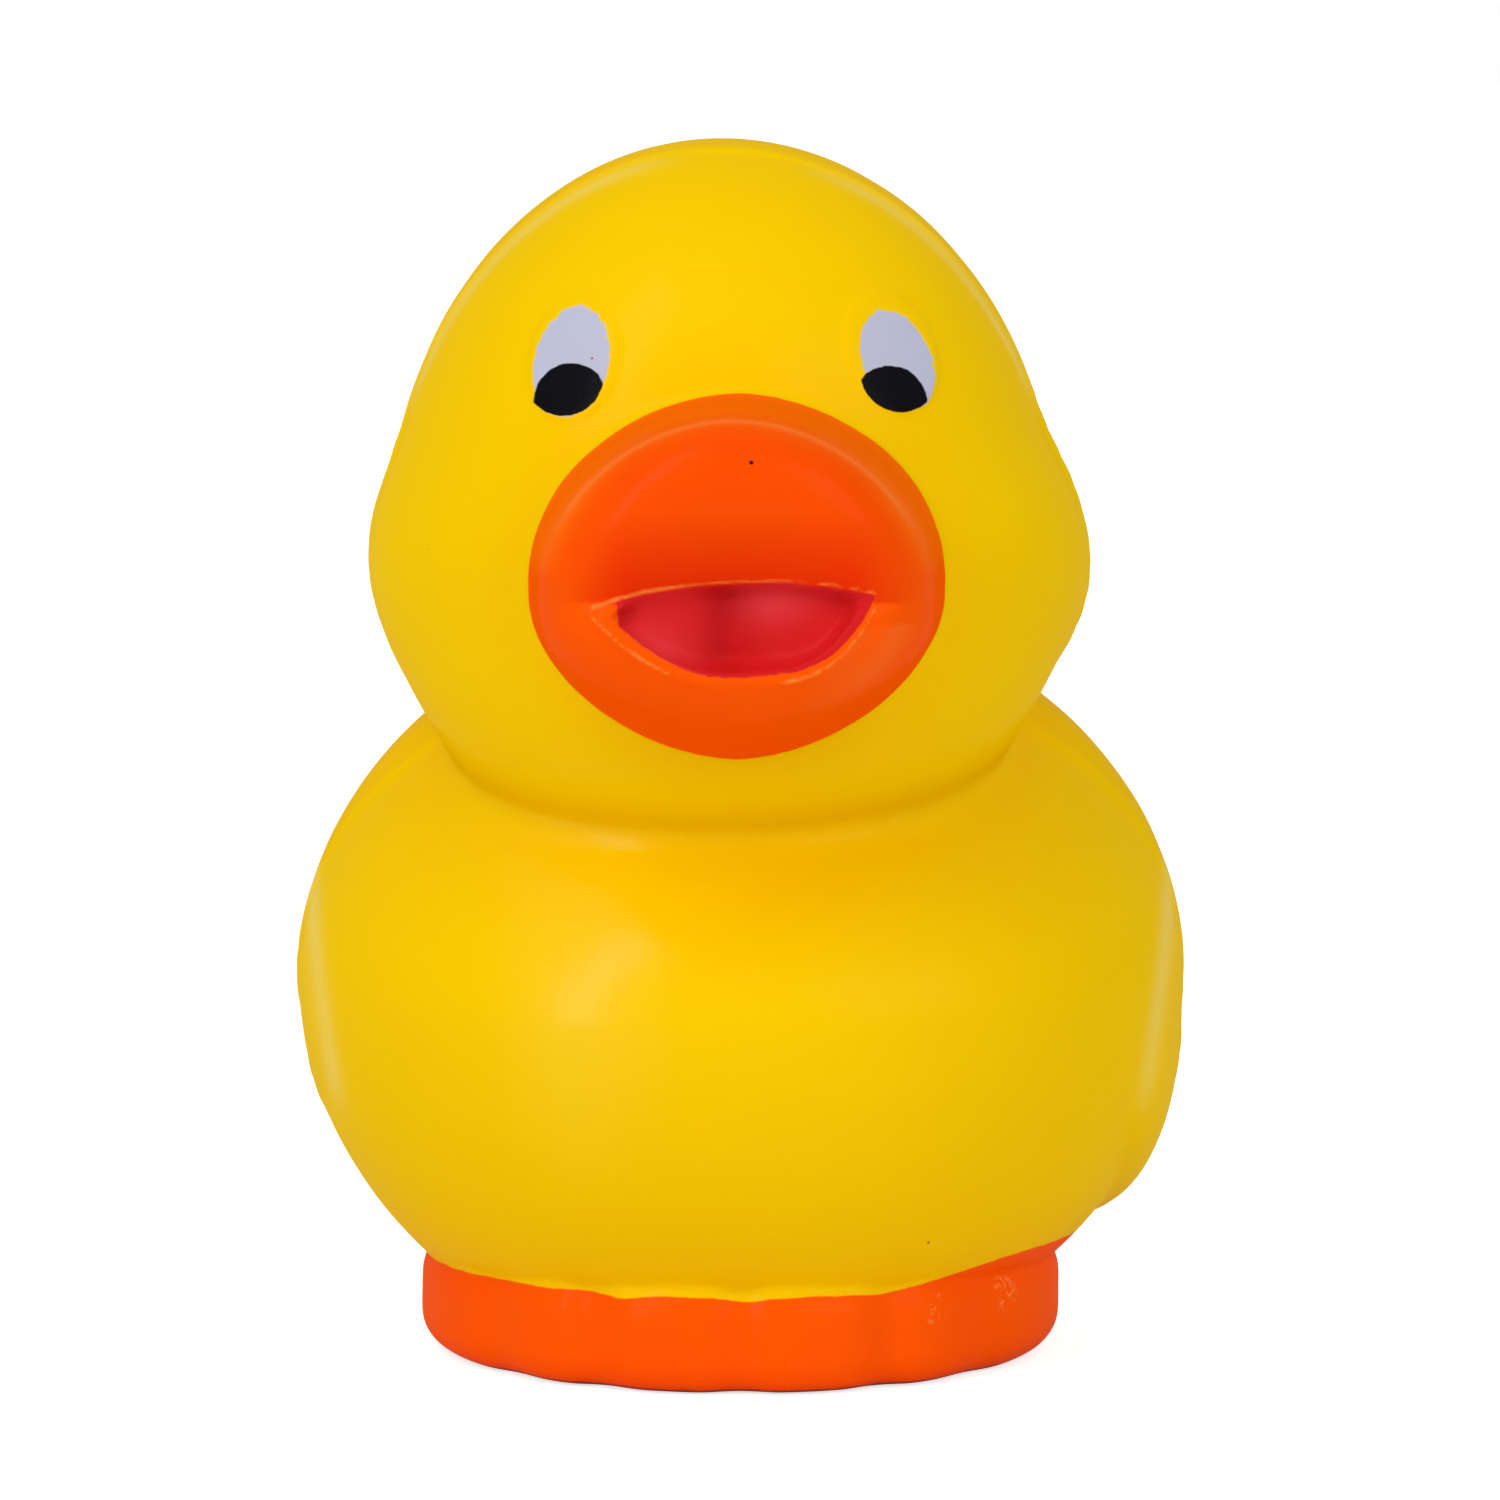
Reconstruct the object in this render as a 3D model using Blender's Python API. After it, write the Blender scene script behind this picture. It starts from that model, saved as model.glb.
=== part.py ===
"""Foam duck stress toy, moulded in one piece and painted.

The duck stands on its flat feet with +Z up and looks along -Y.
Body, head, bill, wings, tail and feet leave one two-part mould as one solid.
"""

import math
from collections import namedtuple

import bmesh
import bpy
from mathutils import Matrix, Vector

# A bulge is an egg: its centre, then how far it reaches across, forward, back, up and down.
Bulge = namedtuple("Bulge", "centre across front back up down")

# Body and head, all sizes in metres
BODY_Z = 0.0256
BODY_HALF_WIDTH = 0.0302
BODY_FRONT = 0.0285
BODY_BACK = 0.0310
BODY_UP = 0.0245
BODY_DOWN = 0.0269
BODY_SWAY = 0.016
BACK_RISE = 0.03
REAR_RISE = 0.12
SEAM_SLOPE = 0.20
CHEST_SLOPE = 25.0
HEAD_FORWARD = 0.0050
HEAD_ASIDE = 0.0012
DOME_Z = 0.0566
DOME_HALF_WIDTH = 0.0223
DOME_FRONT = 0.0205
DOME_BACK = 0.0212
CROWN_Z = 0.0828
CHEEK_Z = 0.0544
CHEEK_HALF_WIDTH = 0.0241
CHEEK_FRONT = 0.0205
CHEEK_BACK = 0.0190
CHEEK_UP = 0.0142
CHEEK_DOWN = 0.0155
JAW_FORWARD = 0.0100
JAW_Z = 0.0478
JAW_HALF_WIDTH = 0.0196
JAW_FRONT = 0.0150
JAW_BACK = 0.0100
JAW_UP = 0.0150
JAW_DOWN = 0.0130
NECK_FILLET = 0.0018
THROAT_FILLET = 0.0010
THROAT_REACH = 0.0200
HEAD_FILLET = 0.0035
FLOOR_Z = 0.0030
SKIN_SEGMENTS = 64
SKIN_RINGS = 54
RING_GATHER = 0.04
NECK_Z = 0.0430
NECK_REACH = 0.0140
NECK_TILT = 0.34
NECK_SWAY = 0.03
SEARCH_STEPS = 24

# Bill: two lips that close along one line. Bluntness squares a lip's front, from an oval at 2,
# and squareness squares its outline seen from the front.
BILL_ASIDE = 0.0003
BILL_HALF_WIDTH = 0.0134
BILL_ROOT_Y = -0.0200
BILL_TIP_Y = -0.0385
BILL_FLARE = 0.0010
FLARE_LENGTH = 0.35
SIDE_BLUNTNESS = 4.2
UPPER_BLUNTNESS = 5.7
LOWER_BLUNTNESS = 2.6
UPPER_SQUARENESS = 1.86
LOWER_SQUARENESS = 1.75
LIP_SQUARENESS = 8.0
BILL_ROOT_SHARE = 0.25
BILL_SEGMENTS = 44
BILL_RINGS = 24
BILL_RING_GATHER = 0.22
LIP_Z = 0.0543
UPPER_Z = 0.0552
UPPER_HEIGHT = 0.0116
UPPER_UNDERSIDE = 0.0013
UPPER_UNDERCUT = 0.0028
UNDERCUT_HEIGHT = 0.0100
LOWER_Z = 0.0535
LOWER_HEIGHT = 0.0105
LOWER_TOPSIDE = 0.0009
LOWER_SETBACK = 0.0012
LOWER_INSET = 0.0002

# Mouth: an open smile, a little higher at its right corner, and two lobes of tongue in it
MOUTH_ASIDE = 0.0004
MOUTH_HALF_WIDTH = 0.0094
MOUTH_TILT = math.radians(3)
MOUTH_CORNER_Z = LIP_Z
MOUTH_ARCH = 0.0013
MOUTH_BOW = 0.0052
MOUTH_BACK_Y = -0.0335
ARCH_POWER = 2.6
LEFT_BOW_POWER = 2.1
RIGHT_BOW_POWER = 3.5
MOUTH_STEPS = 12
TONGUE_LOBE_X = 0.0042
TONGUE_Y = -0.0278
TONGUE_Z = 0.0528
TONGUE_RADII = Vector((0.0066, 0.0080, 0.0060))

# What stands a little proud of the skin: the eyes, and the seam where the two mould halves met
RELIEF = 0.0003
SEAM_THICKNESS = 0.0006
SEAM_LEAN = math.atan(SEAM_SLOPE)

# Eyes: raised pads that lean in at the top
EYE_X = 0.0104
EYE_ASIDE = 0.0005
EYE_Z = 0.0692
EYE_HALF_WIDTH = 0.0029
EYE_HALF_HEIGHT = 0.0041
EYE_LEAN = math.radians(20)
EYE_BACK = CHEEK_FRONT / 2.0

# Wings and tail: each is a ball drawn out to a raised tip, its middle sunk into the body's skin
WING_DEPTH = 0.0076
WING_CENTRE = Vector((BODY_HALF_WIDTH - WING_DEPTH, 0.0070, 0.0245))
WING_HALF_THICKNESS = 0.0070
WING_HALF_LENGTH = 0.0200
WING_HALF_HEIGHT = 0.0132
WING_YAW = math.radians(8)
WING_CURL = 0.0060
RIGHT_WING_DROP = 0.0035
TAIL_DEPTH = 0.0070
TAIL_CENTRE = Vector((0.0, BODY_BACK - TAIL_DEPTH, 0.0300))
TAIL_HALF_WIDTH = 0.0140
TAIL_HALF_LENGTH = 0.0160
TAIL_HALF_HEIGHT = 0.0100
TAIL_CURL = 0.0080
TIP_TAPER = 0.40

# Feet
FEET_HEIGHT = 0.0078
FEET_HALF_WIDTH = 0.0219
FEET_FRONT = 0.0225
FEET_BACK = 0.0205
FEET_SQUARENESS = 2.0
TOE_GROOVES = (0.0, 0.0100, 0.0165)
TOE_GROOVE_DEPTH = 0.0008
TOE_GROOVE_WIDTH = 0.0015
SOLE_EDGE = 0.0026
SOLE_POINTS = 92

# The stand point lies midway between bill tip and tail tip
TAIL_TIP_Y = TAIL_CENTRE.y + TAIL_HALF_LENGTH
MIDDLE_Y = (BILL_TIP_Y + TAIL_TIP_Y) / 2.0

YELLOW = (0.92, 0.55, 0.004, 1.0)
ORANGE = (0.98, 0.11, 0.002, 1.0)
RED = (0.70, 0.02, 0.02, 1.0)
WHITE = (0.60, 0.62, 0.72, 1.0)

BODY = Bulge(
    Vector((0.0, 0.0, BODY_Z)),
    BODY_HALF_WIDTH, BODY_FRONT, BODY_BACK, BODY_UP, BODY_DOWN,
)
DOME = Bulge(
    Vector((-HEAD_ASIDE, -HEAD_FORWARD, DOME_Z)),
    DOME_HALF_WIDTH, DOME_FRONT, DOME_BACK, CROWN_Z - DOME_Z, CROWN_Z - DOME_Z,
)
CHEEKS = Bulge(
    Vector((-HEAD_ASIDE / 2.0, -HEAD_FORWARD, CHEEK_Z)),
    CHEEK_HALF_WIDTH, CHEEK_FRONT, CHEEK_BACK, CHEEK_UP, CHEEK_DOWN,
)
JAW = Bulge(
    Vector((-HEAD_ASIDE / 2.0, -JAW_FORWARD, JAW_Z)),
    JAW_HALF_WIDTH, JAW_FRONT, JAW_BACK, JAW_UP, JAW_DOWN,
)


def clear_scene():
    for old in list(bpy.data.objects):
        bpy.data.objects.remove(old)


def collection(name, shown):
    made = bpy.data.collections.new(name)
    made.hide_render = not shown
    bpy.context.scene.collection.children.link(made)
    return made


def paint(name, colour, roughness):
    material = bpy.data.materials.new(name)
    material.use_nodes = True
    material.diffuse_color = colour
    shader = material.node_tree.nodes["Principled BSDF"]
    shader.inputs["Base Color"].default_value = colour
    shader.inputs["Roughness"].default_value = roughness
    shader.inputs["Metallic"].default_value = 0.0
    return material


def add_object(name, bm, material, home):
    """Makes an object of a bmesh, smooth shaded, and returns it."""
    bmesh.ops.recalc_face_normals(bm, faces=bm.faces)
    mesh = bpy.data.meshes.new(name)
    bm.to_mesh(mesh)
    bm.free()
    mesh.materials.append(material)
    mesh.shade_smooth()
    made = bpy.data.objects.new(name, mesh)
    home.objects.link(made)
    return made


def combine(base, other, operation):
    """Joins a forming shape to the base, or cuts it away, with a live Boolean."""
    modifier = base.modifiers.new(other.name, "BOOLEAN")
    modifier.operation = operation
    modifier.object = other
    modifier.solver = "EXACT"
    other.hide_render = True
    other.display_type = "WIRE"


def outside(bulge, point):
    """Roughly how far a point lies outside a bulge; below zero inside it."""
    away = point - bulge.centre
    along = away.y / (bulge.front if away.y < 0.0 else bulge.back)
    up = away.z / (bulge.up if away.z > 0.0 else bulge.down)
    return (math.hypot(away.x / bulge.across, along, up) - 1.0) * bulge.across


def softly_nearer(first, second, fillet):
    """The smaller of two distances, with a round fillet where they cross."""
    closeness = max(fillet - abs(first - second), 0.0) / fillet
    return min(first, second) - closeness * closeness * fillet / 4.0


def eased(share):
    """Runs from 0 to 1 with a soft start and end."""
    share = min(max(share, 0.0), 1.0)
    return share * share * (3.0 - 2.0 * share)


def outside_duck(point):
    """Distance outside body and head.

    The shoulders sway to one side, the chest slopes to the neck, the back rises, and
    what lies behind the seam stands a little higher.
    """
    above = point.z - BODY_Z
    behind_seam = max(point.y + SEAM_SLOPE * above, 0.0)
    slope = CHEST_SLOPE * max(-point.y, 0.0) * max(above, 0.0)
    rise = BACK_RISE * point.y + REAR_RISE * behind_seam
    sway = BODY_SWAY * max(above, 0.0)
    body = outside(BODY, point + Vector((-sway, 0.0, slope - rise)))
    head = softly_nearer(outside(DOME, point), outside(CHEEKS, point), HEAD_FILLET)
    head = softly_nearer(head, outside(JAW, point), HEAD_FILLET)
    throat = THROAT_FILLET * eased(-point.y / THROAT_REACH)
    return softly_nearer(body, head, NECK_FILLET + throat)


def skin(name, grow, material, home):
    """The skin of body and head: each point is found along a ray out from the spine.

    Near the neck the rays dip to the front, so that the rings of points follow the crease.
    """
    bm = bmesh.new()
    bmesh.ops.create_uvsphere(
        bm, u_segments=SKIN_SEGMENTS, v_segments=SKIN_RINGS, radius=1.0
    )
    span = CROWN_Z + grow - FLOOR_Z
    for vert in bm.verts:
        turn = math.acos(-vert.co.z) / math.pi
        gathered = turn - RING_GATHER * math.sin(4.0 * math.pi * turn)
        z = FLOOR_Z + span * (0.5 - 0.5 * math.cos(math.pi * gathered))
        lean = min(max((z - BODY_Z) / (CHEEK_Z - BODY_Z), 0.0), 1.0)
        spine = Vector((0.0, -HEAD_FORWARD * lean, z))
        ray = Vector((vert.co.x, vert.co.y, 0.0))
        if ray.length < 1e-6:
            vert.co = spine
            continue
        ray.normalize()
        near_neck = math.exp(-(((z - NECK_Z) / NECK_REACH) ** 2))
        ray.z = near_neck * (NECK_TILT * ray.y + NECK_SWAY * ray.x)
        near, far = 0.0, 2.0 * BODY_BACK
        for _ in range(SEARCH_STEPS):
            half = (near + far) / 2.0
            if outside_duck(spine + ray * half) < grow:
                near = half
            else:
                far = half
        vert.co = spine + ray * near
    return add_object(name, bm, material, home)


def lip(name, upper, material, home):
    """One half of the bill: a blunt form that flares out where it meets the face."""
    if upper:
        middle_z, up_reach, down_reach = UPPER_Z, UPPER_HEIGHT, UPPER_UNDERSIDE
        outer_bluntness, outer_squareness = UPPER_BLUNTNESS, UPPER_SQUARENESS
        undercut, tip_y, half_width = UPPER_UNDERCUT, BILL_TIP_Y, BILL_HALF_WIDTH
    else:
        middle_z, up_reach, down_reach = LOWER_Z, LOWER_TOPSIDE, LOWER_HEIGHT
        outer_bluntness, outer_squareness = LOWER_BLUNTNESS, LOWER_SQUARENESS
        undercut, tip_y, half_width = 0.0, BILL_TIP_Y + LOWER_SETBACK, BILL_HALF_WIDTH - LOWER_INSET
    length = BILL_ROOT_Y - tip_y
    bm = bmesh.new()
    bmesh.ops.create_uvsphere(
        bm,
        u_segments=BILL_SEGMENTS,
        v_segments=BILL_RINGS,
        radius=1.0,
        matrix=Matrix.Rotation(math.radians(90), 4, "X"),
    )
    for vert in bm.verts:
        across, along, up = vert.co
        wide = math.hypot(across, up)
        if wide < 1e-6:
            across, up, wide = 1.0, 0.0, 1.0
        across, up = across / wide, up / wide
        is_outer = (up > 0.0) == upper
        squareness = outer_squareness if is_outer else LIP_SQUARENESS
        bluntness = SIDE_BLUNTNESS
        if is_outer:
            bluntness += (outer_bluntness - SIDE_BLUNTNESS) * up * up
        corner = (abs(across) ** squareness + abs(up) ** squareness) ** (-1.0 / squareness)
        turn = math.acos(min(max(-along, -1.0), 1.0))
        if along < 0.0:
            turn -= BILL_RING_GATHER * math.sin(4.0 * turn)
        spread = corner * math.sin(turn) ** (2.0 / bluntness)
        forward = max(math.cos(turn), 0.0) ** (2.0 / bluntness)
        flare = BILL_FLARE * max(1.0 - forward / FLARE_LENGTH, 0.0) ** 2
        reach = up_reach if up > 0.0 else down_reach
        if is_outer:
            reach += flare
        z = middle_z + reach * up * spread
        low = min(max(1.0 - (z - LIP_Z) / UNDERCUT_HEIGHT, 0.0), 1.0)
        side = across * spread
        recess = undercut * low * low * (1.0 - side * side)
        buried = BILL_ROOT_SHARE * length * max(along, 0.0)
        vert.co = (
            (half_width + flare) * side - BILL_ASIDE,
            BILL_ROOT_Y + buried - forward * (length - recess),
            z,
        )
    return add_object(name, bm, material, home)


def prism(name, outline, place, low, high, edge, material, home):
    """A closed outline drawn from low to high, with its long edges rounded by edge."""
    curve = bpy.data.curves.new(name, "CURVE")
    curve.dimensions = "2D"
    curve.fill_mode = "BOTH"
    curve.extrude = (high - low) / 2.0 - edge
    curve.bevel_depth = edge
    curve.bevel_resolution = 3
    curve.offset = -edge
    spline = curve.splines.new("POLY")
    spline.points.add(len(outline) - 1)
    spline.use_cyclic_u = True
    for point, (across, up) in zip(spline.points, outline):
        point.co = (across, up, 0.0, 1.0)
    drawn = bpy.data.objects.new(name, curve)
    home.objects.link(drawn)
    bpy.context.view_layer.update()
    graph = bpy.context.evaluated_depsgraph_get()
    solid = bpy.data.meshes.new_from_object(drawn.evaluated_get(graph))
    bpy.data.objects.remove(drawn)
    bm = bmesh.new()
    bm.from_mesh(solid)
    bmesh.ops.remove_doubles(bm, verts=bm.verts, dist=1e-6)
    bm.transform(place @ Matrix.Translation((0.0, 0.0, (low + high) / 2.0)))
    return add_object(name, bm, material, home)


def facing_front():
    """Turns an outline drawn flat so that it stands up and is drawn out towards -Y."""
    return Matrix.Rotation(math.radians(90), 4, "X")


def oval(half_width, half_height, points):
    turns = [2.0 * math.pi * step / points for step in range(points)]
    return [(half_width * math.cos(t), half_height * math.sin(t)) for t in turns]


def mouth_outline():
    """A flat arch under the upper lip and a deep bow above the lower one, about the corners."""
    shares = [step / MOUTH_STEPS * 2.0 - 1.0 for step in range(MOUTH_STEPS + 1)]
    top = [(MOUTH_HALF_WIDTH * s, MOUTH_ARCH * (1.0 - abs(s) ** ARCH_POWER)) for s in shares]
    bottom = []
    for s in reversed(shares[1:-1]):
        power = LEFT_BOW_POWER if s < 0.0 else RIGHT_BOW_POWER
        bottom.append((MOUTH_HALF_WIDTH * s, MOUTH_BOW * (abs(s) ** power - 1.0)))
    return top + bottom


def seam(material, home):
    """A thin wall through the widest part of body and head, before it is cut to the skin."""
    bm = bmesh.new()
    bmesh.ops.create_cube(bm, size=1.0)
    tall = 2.0 * CROWN_Z
    bmesh.ops.scale(bm, vec=(tall, SEAM_THICKNESS, tall), verts=bm.verts)
    place = Matrix.Translation((0.0, 0.0, BODY_Z)) @ Matrix.Rotation(SEAM_LEAN, 4, "X")
    bm.transform(place)
    return add_object("seam_form", bm, material, home)


def ball(name, centre, radii, place, material, home):
    bm = bmesh.new()
    bmesh.ops.create_uvsphere(bm, u_segments=24, v_segments=16, radius=1.0)
    bmesh.ops.scale(bm, vec=radii, verts=bm.verts)
    bm.transform(Matrix.Translation(centre) @ place)
    return add_object(name, bm, material, home)


def raised_tip(name, centre, radii, yaw, curl, material, home):
    """A flattened ball, tapered towards its back end and curled up there."""
    bm = bmesh.new()
    bmesh.ops.create_uvsphere(
        bm,
        u_segments=28,
        v_segments=22,
        radius=1.0,
        matrix=Matrix.Rotation(math.radians(90), 4, "X"),
    )
    for vert in bm.verts:
        back = max(vert.co.y, 0.0)
        taper = 1.0 - TIP_TAPER * back * back
        vert.co = (
            radii.x * vert.co.x * taper,
            radii.y * vert.co.y,
            radii.z * vert.co.z * taper + curl * back * back,
        )
    bm.transform(Matrix.Translation(centre) @ Matrix.Rotation(yaw, 4, "Z"))
    return add_object(name, bm, material, home)


def sole_outline():
    """The plinth seen from above, with grooves between the toes along its front."""
    power = 2.0 / FEET_SQUARENESS
    outline = []
    for step in range(SOLE_POINTS):
        turn = 2.0 * math.pi * step / SOLE_POINTS
        across = math.cos(turn)
        along = math.sin(turn)
        x = FEET_HALF_WIDTH * math.copysign(abs(across) ** power, across)
        reach = FEET_BACK if along > 0.0 else FEET_FRONT
        y = reach * math.copysign(abs(along) ** power, along)
        if along < 0.0:
            for groove in TOE_GROOVES:
                gap = (abs(x) - groove) / TOE_GROOVE_WIDTH
                y += TOE_GROOVE_DEPTH * math.exp(-gap * gap)
        outline.append((x, y))
    return outline


def main():
    clear_scene()
    duck_home = collection("foam_duck", True)
    forms = collection("forming_shapes", False)
    yellow = paint("yellow_skin", YELLOW, 0.45)
    orange = paint("orange_paint", ORANGE, 0.40)
    red = paint("red_paint", RED, 0.45)
    white = paint("white_paint", WHITE, 0.40)

    duck = skin("duck", 0.0, yellow, duck_home)
    proud_skin = skin("proud_skin", RELIEF, yellow, forms)
    seam_line = seam(yellow, forms)
    combine(seam_line, proud_skin, "INTERSECT")
    combine(duck, seam_line, "UNION")
    for side, label, drop in ((-1.0, "left", 0.0), (1.0, "right", RIGHT_WING_DROP)):
        wing = raised_tip(
            f"{label}_wing_form",
            Vector((side * WING_CENTRE.x, WING_CENTRE.y, WING_CENTRE.z - drop)),
            Vector((WING_HALF_THICKNESS, WING_HALF_LENGTH, WING_HALF_HEIGHT)),
            side * WING_YAW,
            WING_CURL,
            yellow,
            forms,
        )
        combine(duck, wing, "UNION")
    tail = raised_tip(
        "tail_form",
        TAIL_CENTRE,
        Vector((TAIL_HALF_WIDTH, TAIL_HALF_LENGTH, TAIL_HALF_HEIGHT)),
        0.0,
        TAIL_CURL,
        yellow,
        forms,
    )
    combine(duck, tail, "UNION")
    flat = Matrix.Identity(4)
    feet = prism(
        "feet_form", sole_outline(), flat, 0.0, FEET_HEIGHT, SOLE_EDGE, orange, forms
    )
    combine(duck, feet, "UNION")
    combine(duck, lip("upper_bill_form", True, orange, forms), "UNION")
    combine(duck, lip("lower_bill_form", False, orange, forms), "UNION")
    mouth_place = (
        Matrix.Translation((-MOUTH_ASIDE, 0.0, MOUTH_CORNER_Z))
        @ Matrix.Rotation(-MOUTH_TILT, 4, "Y")
        @ facing_front()
    )
    mouth = prism(
        "mouth_form", mouth_outline(), mouth_place,
        -MOUTH_BACK_Y, -2.0 * BILL_TIP_Y, 0.0, red, forms,
    )
    combine(duck, mouth, "DIFFERENCE")
    for side, label in ((-1.0, "left"), (1.0, "right")):
        lobe_centre = Vector((side * TONGUE_LOBE_X - MOUTH_ASIDE, TONGUE_Y, TONGUE_Z))
        lobe = ball(f"{label}_tongue_form", lobe_centre, TONGUE_RADII, flat, red, forms)
        combine(duck, lobe, "UNION")
        eye_place = (
            Matrix.Translation((side * EYE_X - EYE_ASIDE, 0.0, EYE_Z))
            @ facing_front()
            @ Matrix.Rotation(side * EYE_LEAN, 4, "Z")
        )
        eye = prism(
            f"{label}_eye_form", oval(EYE_HALF_WIDTH, EYE_HALF_HEIGHT, 28), eye_place,
            EYE_BACK, 2.0 * CHEEK_FRONT, 0.0, white, forms,
        )
        combine(eye, proud_skin, "INTERSECT")
        combine(duck, eye, "UNION")
    for made in bpy.data.objects:
        made.location.y = -MIDDLE_Y


main()
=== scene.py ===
import math

import bmesh
import bpy
import numpy as np
from mathutils import Matrix, Vector, noise


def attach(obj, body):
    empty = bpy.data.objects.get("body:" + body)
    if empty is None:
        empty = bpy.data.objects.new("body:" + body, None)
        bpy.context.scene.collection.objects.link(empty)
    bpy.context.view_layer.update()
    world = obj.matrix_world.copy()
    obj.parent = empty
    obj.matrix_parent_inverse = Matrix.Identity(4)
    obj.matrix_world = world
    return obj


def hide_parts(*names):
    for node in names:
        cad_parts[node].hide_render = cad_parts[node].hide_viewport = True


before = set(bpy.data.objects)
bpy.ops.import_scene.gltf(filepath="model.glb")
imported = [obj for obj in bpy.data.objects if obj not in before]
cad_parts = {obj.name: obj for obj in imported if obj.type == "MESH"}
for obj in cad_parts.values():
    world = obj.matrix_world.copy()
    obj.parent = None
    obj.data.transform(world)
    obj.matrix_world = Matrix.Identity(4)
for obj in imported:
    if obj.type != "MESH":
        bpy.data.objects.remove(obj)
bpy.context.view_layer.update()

# body and head: eggs of centre x y z, then how far they reach across, front, back, up and down
duckForm = {
    "midY": 0.00075,  # the stand point lies this far behind the body's middle
    "voxel": 0.00030,
    "smoothPasses": 3,
    "mostFaces": 190000,
    "body": (0.0, 0.0, 0.0256, 0.0302, 0.0285, 0.0310, 0.0245, 0.0269),
    "dome": (-0.0012, -0.0050, 0.0566, 0.0223, 0.0205, 0.0212, 0.0262, 0.0262),
    "cheeks": (-0.0006, -0.0050, 0.0544, 0.0241, 0.0205, 0.0190, 0.0142, 0.0155),
    "jaw": (-0.0006, -0.0100, 0.0478, 0.0196, 0.0150, 0.0100, 0.0150, 0.0130),
    "sway": 0.016,  # the shoulders lean this much to the right for each metre up
    "backRise": 0.03,
    "rearRise": 0.12,  # the rear half of the mould stands higher behind the seam
    "seamSlope": 0.200,  # the rear half starts this much further forward for each metre up
    "lineSlope": 0.160,  # and its raised line leans forward a little less
    "chestSlope": 25.0,
    "neckFillet": 0.0018,
    "throatFillet": 0.0010,
    "headFillet": 0.0035,
    "floorZ": 0.0030,
    "crownZ": 0.0828,
    "neckZ": 0.0430,
    "segments": 180,
    "rings": 150,
}


def eggDistance(egg, p):
    cx, cy, cz, across, front, back, up, down = egg
    x, y, z = p[:, 0] - cx, p[:, 1] - cy, p[:, 2] - cz
    along = y / np.where(y < 0.0, front, back)
    high = z / np.where(z > 0.0, up, down)
    return (np.sqrt((x / across) ** 2 + along**2 + high**2) - 1.0) * across


def softNearer(a, b, fillet):
    close = np.maximum(fillet - np.abs(a - b), 0.0) / fillet
    return np.minimum(a, b) - close * close * fillet / 4.0


def smooth01(t):
    t = np.clip(t, 0.0, 1.0)
    return t * t * (3.0 - 2.0 * t)


def seamDistance(p, slope=duckForm["seamSlope"]):
    return p[:, 1] + slope * (p[:, 2] - duckForm["body"][2])


def bodyAndHeadDistances(p, form=duckForm):
    lifted = p.copy()
    above = np.maximum(p[:, 2] - form["body"][2], 0.0)
    lifted[:, 0] -= form["sway"] * above
    lifted[:, 2] += form["chestSlope"] * np.maximum(-p[:, 1], 0.0) * above - form["backRise"] * p[:, 1]
    lifted[:, 2] -= form["rearRise"] * np.maximum(seamDistance(p), 0.0)
    body = eggDistance(form["body"], lifted)
    head = softNearer(eggDistance(form["dome"], p), eggDistance(form["cheeks"], p), form["headFillet"])
    return body, softNearer(head, eggDistance(form["jaw"], p), form["headFillet"])


def skinDistance(p, form=duckForm):
    # how far points lie outside body and head together
    body, head = bodyAndHeadDistances(p, form)
    fillet = form["neckFillet"] + form["throatFillet"] * smooth01(-p[:, 1] / 0.020)
    return softNearer(body, head, fillet)


def neckDistance(p):
    # how far points lie from the crease between body and head
    body, head = bodyAndHeadDistances(p)
    return body - head


def bump(t):
    return np.exp(-t * t)


def pointsOf(bm):
    return np.array([v.co[:] for v in bm.verts])


def putPoints(bm, p):
    for v, co in zip(bm.verts, p):
        v.co = co


def pieceFrom(bm, name):
    bmesh.ops.recalc_face_normals(bm, faces=bm.faces)
    mesh = bpy.data.meshes.new(name)
    bm.to_mesh(mesh)
    bm.free()
    piece = bpy.data.objects.new(name, mesh)
    bpy.context.scene.collection.objects.link(piece)
    return piece


def finished(piece):
    # bakes a piece's modifiers into its mesh
    bpy.context.view_layer.update()
    graph = bpy.context.evaluated_depsgraph_get()
    mesh = bpy.data.meshes.new_from_object(piece.evaluated_get(graph))
    piece.modifiers.clear()
    old = piece.data
    piece.data = mesh
    bpy.data.meshes.remove(old)
    return piece


def boolean(base, other, operation="UNION"):
    mod = base.modifiers.new(operation.lower(), "BOOLEAN")
    mod.operation = operation
    mod.object = other
    mod.solver = "EXACT"
    finished(base)
    bpy.data.objects.remove(other)


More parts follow.
